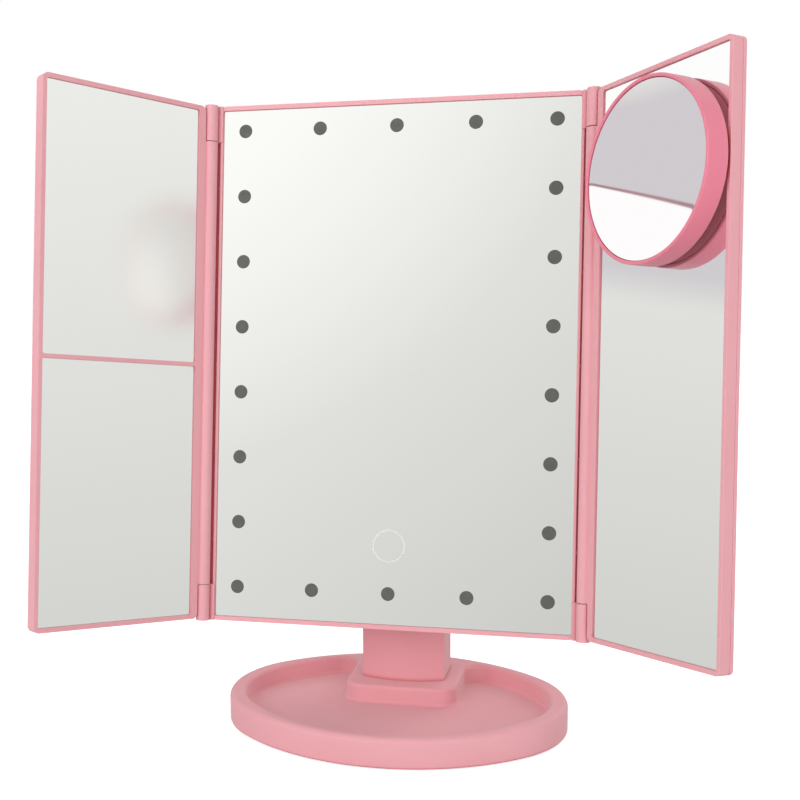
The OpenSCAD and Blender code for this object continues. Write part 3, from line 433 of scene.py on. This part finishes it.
def make_tray():
    """The moulded base with its rounded rim, its tray and the block that the neck stands in."""
    bm = bmesh.new()
    under = [ring(bm, oval(UNDER_IN), UNDER_Z), ring(bm, oval(UNDER_IN), SKIRT_Z)]
    foot = [ring(bm, oval(FOOT_R * (1 - s)), SKIRT_Z + FOOT_R * c) for s, c in quarter(FOOT_STEPS)]
    top = [ring(bm, oval(RIM_OUT_R * c), BASE_H - RIM_OUT_R + RIM_OUT_R * s)
           for s, c in quarter(RIM_OUT_STEPS)]
    loft(bm, under + foot + top)
    edge = [ring(bm, recess(RIM_IN_R * (1 - s)), BASE_H - RIM_IN_R * c) for s, c in quarter(RIM_IN_STEPS)]
    cove = [ring(bm, recess(-COVE_R * c), TRAY_Z + COVE_R - COVE_R * s) for s, c in quarter(COVE_STEPS)]
    loft(bm, edge + cove)
    flat_fill(bm, under[0])
    flat_fill(bm, top[-1], edge[0])
    flat_fill(bm, cove[-1])
    finish_mesh(bm, "tray_moulding", "base", "pink_plastic", ["base_tray"])


make_tray()


# ---------- spot mirror, in the sizes of the part's source (mm) ----------

# The glass: its radius, the radius of its hollow, where its front edge stands, and its thickness
SPOT_GLASS_R, SPOT_CURVE, SPOT_FRONT, SPOT_GLASS_T = 35.1, 250.0, 11.8, 1.6
# The ground bevel, and how far the hollow lies back so that it stays within the source's glass
GROUND_EDGE, CLEAR = 0.2, 0.02
SPOT_POINTS, SPOT_RINGS = 160, 24


def make_spot_mirror():
    """The magnifying glass, ground to a true hollow curve and with a small ground bevel at its edge."""
    bm = bmesh.new()
    sag = SPOT_CURVE - math.sqrt(SPOT_CURVE ** 2 - SPOT_GLASS_R ** 2)

    def circle(r, z):
        return ring(bm, arc(0, 0, r, 0, 360, SPOT_POINTS), z, SPOT)

    radii = [(SPOT_GLASS_R - GROUND_EDGE) * (i + 1) / SPOT_RINGS for i in range(SPOT_RINGS)]
    hollow = [circle(r, SPOT_FRONT - sag - CLEAR + SPOT_CURVE - math.sqrt(SPOT_CURVE ** 2 - r ** 2))
              for r in radii]
    loft(bm, hollow)
    middle = bm.verts.new(SPOT @ Vector((0, 0, (SPOT_FRONT - sag - CLEAR) * MM)))
    for a, b in round_pairs(hollow[0]):
        bm.faces.new((middle, a, b)).smooth = True
    edge = [hollow[-1], circle(SPOT_GLASS_R, SPOT_FRONT - GROUND_EDGE),
            circle(SPOT_GLASS_R, SPOT_FRONT - sag - SPOT_GLASS_T)]
    loft(bm, edge, smooth=False)
    # The hollow's normals stay its own up to the bevel, or the glass would show a bright ring.
    for pair in round_pairs(hollow[-1]):
        bm.edges.get(pair).smooth = False
    flat_fill(bm, edge[-1])
    finish_mesh(bm, "spot_glass", "spot_mirror_unit", "spot_glass", ["spot_mirror"])


make_spot_mirror()


# ---------- screws (mm) ----------

SHANK_R, HEAD_R, HEAD_T = 1.2, 2.5, 1.0
# The head's bevel: how far in it starts on the face, and how far down it ends
BEVEL_IN, BEVEL_DOWN = 0.35, 0.3
THREAD_PITCH, THREAD_DEPTH, TIP_R, TIP_L = 0.8, 0.3, 0.5, 1.0
# The driver's recess at the face and at its floor: reach and half width of its arms, and its depth
RECESS_FACE, RECESS_FLOOR, RECESS_DEPTH = (1.45, 0.35), (0.9, 0.2), 0.6
SCREW_POINTS = 20


def cross_recess(reach, half):
    """A cross-head driver's outline, as 12 points anticlockwise from the right arm's lower corner."""
    arm = [(reach, -half), (reach, half), (half, half)]
    return [(x * math.cos(a) - y * math.sin(a), x * math.sin(a) + y * math.cos(a))
            for a in (math.pi / 2 * turn for turn in range(4)) for x, y in arm]


def add_screw(bm, place, length):
    """A cross-head thread-forming screw along +z, with its head's face at z = 0."""
    def circle(r, z):
        return ring(bm, arc(0, 0, r, 0, 360, SCREW_POINTS), z, place)

    face = circle(HEAD_R - BEVEL_IN, 0)
    turns = int((length - HEAD_T - TIP_L) / THREAD_PITCH)
    thread = [circle(SHANK_R - THREAD_DEPTH * (i % 2), HEAD_T + THREAD_PITCH / 2 * i)
              for i in range(2 * turns)]
    tip = circle(TIP_R, length)
    loft(bm, [face, circle(HEAD_R, BEVEL_DOWN), circle(HEAD_R, HEAD_T)] + thread + [tip], smooth=False)
    mouth = ring(bm, cross_recess(*RECESS_FACE), 0, place)
    pit = ring(bm, cross_recess(*RECESS_FLOOR), RECESS_DEPTH, place)
    loft(bm, [mouth, pit], smooth=False)
    flat_fill(bm, face, mouth)
    flat_fill(bm, pit)
    flat_fill(bm, tip)


def make_screws(node, places, length):
    """A node's screws with their recesses and threads."""
    bm = bmesh.new()
    for place in places:
        add_screw(bm, place, length)
    finish_mesh(bm, node + "_cut", BODY_OF[node], SLOT_OF[node], [node])


HOUSING_X, HOUSING_Z, HOUSING_SCREW_L = 58.0, (92.0, 15.0, -62.0), 7.0
NECK_SCREW_X, NECK_SCREW_Y, NECK_SCREW_Z, NECK_SCREW_L = 9.0, 43.0, 28.0, 22.0
make_screws("housing_screws", [PANEL @ moved(x, SHELL_Y, z) @ turned(90, "X")
                               for x in (-HOUSING_X, HOUSING_X) for z in HOUSING_Z], HOUSING_SCREW_L)
make_screws("neck_screws", [moved(x, NECK_SCREW_Y, NECK_SCREW_Z) @ turned(90, "X")
                            for x in (-NECK_SCREW_X, NECK_SCREW_X)], NECK_SCREW_L)


# ---------- small details of the back (mm) ----------

DOOR_TOP_Z, PORT_X, PORT_Z, SWITCH_Z, KNOB_X = -11.0, -53.0, -76.0, -89.0, -54.5
# The knob's face above the housing and the tongue's foot inside it
KNOB_OUT, TONGUE_IN = 1.18, 4.0
# The door's grip: number of ribs, their spacing, the first one's place and half length, and how much
# shorter each next one is
GRIP_RIBS, GRIP_PITCH, GRIP_DOWN, GRIP_HALF, GRIP_TAPER = 5, 2.4, 12, 9, 0.9
# Spacing of the knob's ridges, and how far the grip's ribs are sunk into the door
RIDGE_PITCH, SUNK = 0.7, 0.05
PILL_POINTS, PILL_STEPS = 8, 4


def add_pill(bm, place, half_length, half_width, height, edge):
    """A low raised stadium shape with rounded edges, long way along x, rising along +z."""
    def outline(inset):
        reach = half_length - half_width
        return (arc(reach, 0, half_width - inset, -90, 90, PILL_POINTS)
                + arc(-reach, 0, half_width - inset, 90, 270, PILL_POINTS))

    rings = [ring(bm, outline(0), 0, place)]
    rings += [ring(bm, outline(edge * c), height - edge + edge * s, place)
              for s, c in quarter(PILL_STEPS)]
    loft(bm, rings)
    flat_fill(bm, rings[-1])
    flat_fill(bm, rings[0])


def behind_panel(x, y, z):
    """A place on the panel's back with +z pointing out of it."""
    return PANEL @ moved(x, y, z) @ turned(-90, "X")


def make_door_grip():
    """Ribs below the door's notch, for a finger to push against."""
    bm = bmesh.new()
    for i in range(GRIP_RIBS):
        place = behind_panel(0, BOX_Y - SUNK, DOOR_TOP_Z - GRIP_DOWN - GRIP_PITCH * i)
        add_pill(bm, place, half_length=GRIP_HALF - GRIP_TAPER * i, half_width=0.6, height=0.45, edge=0.3)
    finish_mesh(bm, "door_grip", "battery_door", "pink_plastic")


def make_knob_ridges():
    """Three ridges across the slide button, for a fingertip."""
    bm = bmesh.new()
    for i in (-1, 0, 1):
        place = behind_panel(KNOB_X + RIDGE_PITCH * i, SHELL_Y + KNOB_OUT, SWITCH_Z) @ turned(90, "Z")
        add_pill(bm, place, half_length=0.8, half_width=0.18, height=0.25, edge=0.12)
    finish_mesh(bm, "knob_ridges", "switch_knob", "black_plastic")


def make_socket_tongue():
    """The contact tongue inside the charging socket."""
    bm = bmesh.new()
    place = behind_panel(PORT_X, SHELL_Y - TONGUE_IN, PORT_Z)
    add_pill(bm, place, half_length=2.6, half_width=0.45, height=2.8, edge=0.1)
    finish_mesh(bm, "socket_tongue", "panel", "black_plastic")


make_door_grip()
make_knob_ridges()
make_socket_tongue()


# ---------- room, light and camera ----------

# Each lamp's name, place in metres, width in metres and power in watts, and what they all face
LAMPS = (("key", (-0.75, -1.5, 0.75), 1.2, 13),
         ("back", (0.6, 1.5, 0.9), 1.4, 9),
         ("fill", (1.1, -1.4, 0.4), 1.4, 8))
LAMPS_FACE = (0, 0, 0.12)
FLOOR_SIZE, FLOOR_LIFT = 8.0, 0.65
LIGHT_ALL_ROUND = 0.5

# What the mirrors see, as brightness over directions of length 1. The room brightens upwards:
DIM_UP, DIM = -0.3, 0.49
BRIGHT_UP, BRIGHT = 0.6, 0.87
# and towards both sides, over this much of x,
SIDES_REACH, SIDES_GLOW = 0.35, 0.12
# and towards a window in front, upper left, from this cosine of the angle to it up to that.
WINDOW_WAY, WINDOW_EDGE, WINDOW_FULL, WINDOW_GLOW = (-0.36, -0.83, 0.42), 0.94, 0.99, 0.12
ROOM_TINT = "FEFFFB"
# A grey board stands on the left, before a white wall: the normal of its upper edge, half of the band
# round that edge, and the colours across that band, with a thin rose line between grey and white.
BOARD_NORMAL, BOARD_BAND = (0.1964, -0.075, 0.9777), 0.02
BOARD_COLOURS = ((0.44, "D0CDD1"), (0.47, "A8858C"), (0.53, "A8858C"), (0.56, "FFFFFF"))
# The board fades in over this much of x, and over this much above its foot.
BOARD_STARTS, BOARD_WHOLE = -0.6, -0.7
FOOT_STARTS, FOOT_WHOLE = -0.132, -0.104

# The photograph's camera, fitted to the object's edges, corners and lights in it (mm and degrees)
CAMERA_AT, CAMERA_YAW, CAMERA_DOWN, CAMERA_ROLL = (99.9, -529.5, 207.1), 13.462, 7.867, -0.659
FILM, LENS, SHIFT_X, SHIFT_Y = 36.0, 53.38, 0.0777, 0.0530


def area_light(name, at, size, power):
    """A soft round lamp."""
    data = bpy.data.lights.new(name, "AREA")
    data.shape = "DISK"
    data.size = size
    data.energy = power
    lamp = bpy.data.objects.new(name, data)
    lamp.location = at
    lamp.rotation_euler = (Vector(LAMPS_FACE) - Vector(at)).to_track_quat("-Z", "Y").to_euler()
    bpy.context.scene.collection.objects.link(lamp)


def make_floor():
    """A plain pale floor that shows white to the camera and keeps the object's shadow. Mirrors and gloss
    see the studio's own soft grey in its place."""
    material, tree, surface = new_material("studio_floor")
    ray = add(tree, "ShaderNodeLightPath").outputs
    lit = add(tree, "ShaderNodeBsdfDiffuse", Color=linear("F7F7F7")).outputs["BSDF"]
    lift = add(tree, "ShaderNodeMapRange", Value=ray["Is Camera Ray"], To_Max=FLOOR_LIFT).outputs["Result"]
    glow = add(tree, "ShaderNodeEmission", Color=linear("FFFFFF"), Strength=lift).outputs["Emission"]
    both = add(tree, "ShaderNodeAddShader", lit, glow).outputs["Shader"]
    tree.links.new(both, surface)
    bpy.ops.mesh.primitive_plane_add(size=FLOOR_SIZE, location=(0, 0, 0))
    floor = bpy.context.object
    floor.name = "studio_floor"
    floor.data.materials.append(material)


def mirrored_room(tree):
    """The colour that mirrors see in each direction: a room that brightens softly upwards, to the sides and
    towards a window, with a grey board and a white wall above it on the left."""
    way = add(tree, "ShaderNodeTexCoord").outputs["Generated"]
    along = add(tree, "ShaderNodeSeparateXYZ", Vector=way).outputs
    up = add(tree, "ShaderNodeMapRange", Value=along["Z"], From_Min=DIM_UP, From_Max=BRIGHT_UP,
             To_Min=DIM, To_Max=BRIGHT).outputs["Result"]
    aside = add(tree, "ShaderNodeMath", along["X"], _operation="ABSOLUTE").outputs["Value"]
    sides = add(tree, "ShaderNodeMapRange", Value=aside, From_Max=SIDES_REACH,
                To_Max=SIDES_GLOW).outputs["Result"]
    to_window = add(tree, "ShaderNodeVectorMath", way, WINDOW_WAY, _operation="DOT_PRODUCT").outputs["Value"]
    window = add(tree, "ShaderNodeMapRange", Value=to_window, From_Min=WINDOW_EDGE, From_Max=WINDOW_FULL,
                 To_Max=WINDOW_GLOW).outputs["Result"]
    with_sides = add(tree, "ShaderNodeMath", up, sides, _operation="ADD").outputs["Value"]
    brightness = add(tree, "ShaderNodeMath", with_sides, window, _operation="ADD").outputs["Value"]
    room = add(tree, "ShaderNodeMix", _data_type="RGBA", _blend_type="MULTIPLY", Factor=1.0, A=brightness,
               B=linear(ROOM_TINT)).outputs["Result"]

    over_edge = add(tree, "ShaderNodeVectorMath", way, BOARD_NORMAL,
                    _operation="DOT_PRODUCT").outputs["Value"]
    across = add(tree, "ShaderNodeMapRange", Value=over_edge, From_Min=-BOARD_BAND,
                 From_Max=BOARD_BAND).outputs["Result"]
    board = add(tree, "ShaderNodeValToRGB", Fac=across)
    for position, _ in BOARD_COLOURS[1:-1]:
        board.color_ramp.elements.new(position)
    for element, (position, colour) in zip(board.color_ramp.elements, BOARD_COLOURS):
        element.position = position
        element.color = linear(colour)
    on_left = add(tree, "ShaderNodeMapRange", Value=along["X"], From_Min=BOARD_STARTS,
                  From_Max=BOARD_WHOLE).outputs["Result"]
    above_foot = add(tree, "ShaderNodeMapRange", Value=over_edge, From_Min=FOOT_STARTS,
                     From_Max=FOOT_WHOLE).outputs["Result"]
    where = add(tree, "ShaderNodeMath", on_left, above_foot, _operation="MULTIPLY").outputs["Value"]
    return add(tree, "ShaderNodeMix", _data_type="RGBA", Factor=where, A=room,
               B=board.outputs["Color"]).outputs["Result"]


def make_world():
    """A pale studio: white where the camera sees it, a plain grey for light from all round, and its own
    room in mirrors and gloss."""
    world = bpy.data.worlds.new("studio")
    bpy.context.scene.world = world
    world.use_nodes = True
    tree = world.node_tree
    tree.nodes.clear()
    mirrored = add(tree, "ShaderNodeBackground", Color=mirrored_room(tree), Strength=1.0)
    white = add(tree, "ShaderNodeBackground", Color=linear("FFFFFF"), Strength=1.0)
    lighting = add(tree, "ShaderNodeBackground", Color=linear("FFFFFF"), Strength=LIGHT_ALL_ROUND)
    ray = add(tree, "ShaderNodeLightPath").outputs
    surroundings = lighting.outputs["Background"]
    for kind, shown in (("Is Glossy Ray", mirrored), ("Is Transmission Ray", mirrored),
                        ("Is Camera Ray", white)):
        surroundings = add(tree, "ShaderNodeMixShader", ray[kind], surroundings,
                           shown.outputs["Background"]).outputs["Shader"]
    add(tree, "ShaderNodeOutputWorld", Surface=surroundings)


def make_camera():
    """The photograph's camera."""
    data = bpy.data.cameras.new("camera")
    data.sensor_width = FILM
    data.lens = LENS
    data.shift_x = SHIFT_X
    data.shift_y = SHIFT_Y
    camera = bpy.data.objects.new("camera", data)
    camera.matrix_world = (moved(*CAMERA_AT) @ turned(CAMERA_YAW, "Z") @ turned(90 - CAMERA_DOWN, "X")
                           @ turned(CAMERA_ROLL, "Z"))
    bpy.context.scene.collection.objects.link(camera)
    bpy.context.scene.camera = camera


make_floor()
make_world()
for lamp in LAMPS:
    area_light(*lamp)
make_camera()
bpy.context.scene.view_settings.view_transform = "Standard"

# The photograph's mirrors show little but the studio, so only these pieces show in them.
MIRRORED = {"spot_glass", "spot_casing_rounded", "spot_back_rounded", "suction_cup"}
for piece in bpy.context.scene.objects:
    piece.visible_glossy = piece.name in MIRRORED
